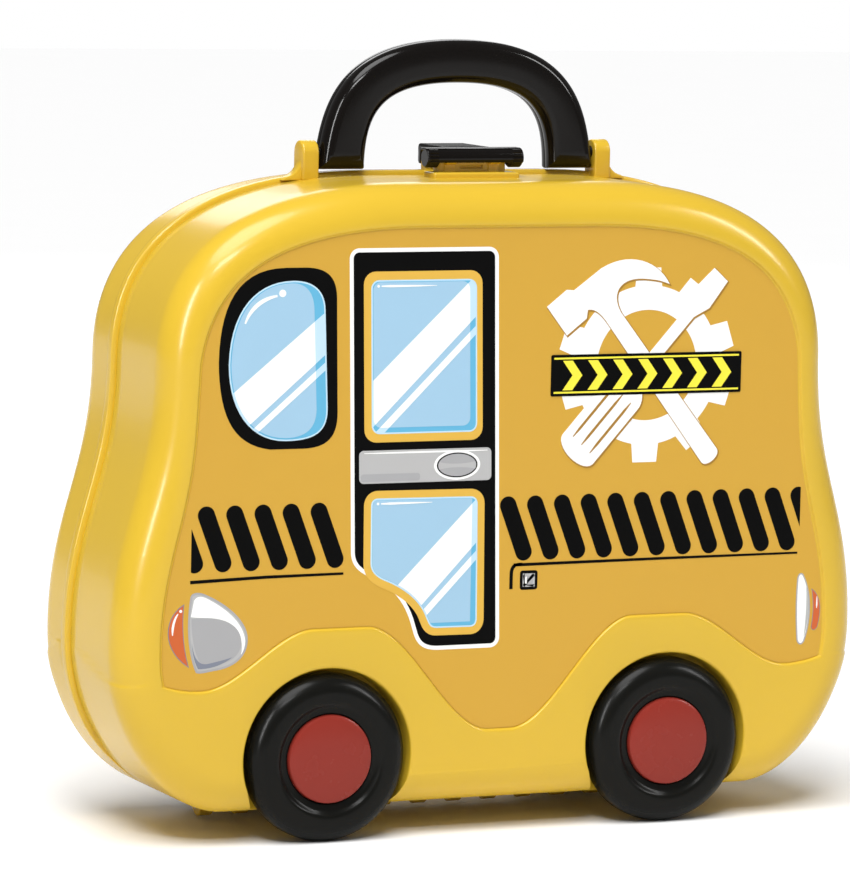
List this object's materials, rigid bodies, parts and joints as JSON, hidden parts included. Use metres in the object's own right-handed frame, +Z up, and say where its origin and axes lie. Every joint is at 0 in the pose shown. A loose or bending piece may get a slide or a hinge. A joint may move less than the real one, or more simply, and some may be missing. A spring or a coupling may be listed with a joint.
{
  "type": "toy carry case",
  "caption": "Hinged two-shell toy carry case in the shape of a bus, with a folding top handle, snap latch and free-rolling wheels.",
  "frame": {"origin": "middle of the case's length and depth, on the floor the wheels stand on", "axes": "+Z up, +X along the bus from nose to tail, -Y out of the printed face"},
  "size_m": [0.2714, 0.0846, 0.2596],
  "materials": {
    "shell_yellow": "glossy injection-moulded yellow",
    "label_film": "satin printed film, darker yellow",
    "print_black": "satin black print",
    "print_silver": "satin silver-grey print",
    "print_white": "satin white print",
    "gloss_black": "glossy black",
    "tyre_black": "satin black hard plastic",
    "hub_red": "satin red",
    "steel": "bright zinc-plated"
  },
  "bodies": {
    "case_front": {"front_shell": "shell_yellow", "panel_label": "label_film", "window_print": "print_black", "door_print": "print_black", "vents_left_print": "print_black", "vents_right_print": "print_black", "filler_flap_print": "print_silver", "headlight_print": "print_silver", "tail_light_print": "print_silver", "emblem_print": "print_white", "hinge_pin": "steel", "latch_pin": "steel", "front_axle_pins": "steel", "front_axle_screws": "steel"},
    "case_rear": {"rear_shell": "shell_yellow", "rear_axle_pins": "steel", "rear_axle_screws": "steel"},
    "latch": {"latch_clasp": "gloss_black"},
    "handle": {"handle_front_half": "gloss_black", "handle_rear_half": "gloss_black", "handle_pivots": "gloss_black", "handle_screws": "steel"},
    "wheel_front_left": {"tyre_front_left": "tyre_black", "hub_cap_front_left": "hub_red"},
    "wheel_front_right": {"tyre_front_right": "tyre_black", "hub_cap_front_right": "hub_red"},
    "wheel_rear_left": {"tyre_rear_left": "tyre_black", "hub_cap_rear_left": "hub_red"},
    "wheel_rear_right": {"tyre_rear_right": "tyre_black", "hub_cap_rear_right": "hub_red"}
  },
  "joints": [
    {"name": "lid", "type": "hinge", "parent": "case_front", "child": "case_rear", "pos_m": [0, 0.012, 0.0052], "axis": [-1, 0, 0], "range_deg": [0, 170]},
    {"name": "latch", "type": "hinge", "parent": "case_front", "child": "latch", "pos_m": [0, -0.007, 0.221], "axis": [1, 0, 0], "range_deg": [0, 48]},
    {"name": "handle", "type": "hinge", "parent": "case_front", "child": "handle", "pos_m": [0, 0.0078, 0.222], "axis": [1, 0, 0], "range_deg": [-84, 84]},
    {"name": "wheel_front_left", "type": "hinge", "parent": "case_front", "child": "wheel_front_left", "pos_m": [-0.0614, -0.0355, 0.0277], "axis": [0, 1, 0], "continuous": true},
    {"name": "wheel_front_right", "type": "hinge", "parent": "case_front", "child": "wheel_front_right", "pos_m": [0.0614, -0.0355, 0.0277], "axis": [0, 1, 0], "continuous": true},
    {"name": "wheel_rear_left", "type": "hinge", "parent": "case_rear", "child": "wheel_rear_left", "pos_m": [-0.0614, 0.0355, 0.0277], "axis": [0, 1, 0], "continuous": true},
    {"name": "wheel_rear_right", "type": "hinge", "parent": "case_rear", "child": "wheel_rear_right", "pos_m": [0.0614, 0.0355, 0.0277], "axis": [0, 1, 0], "continuous": true}
  ]
}
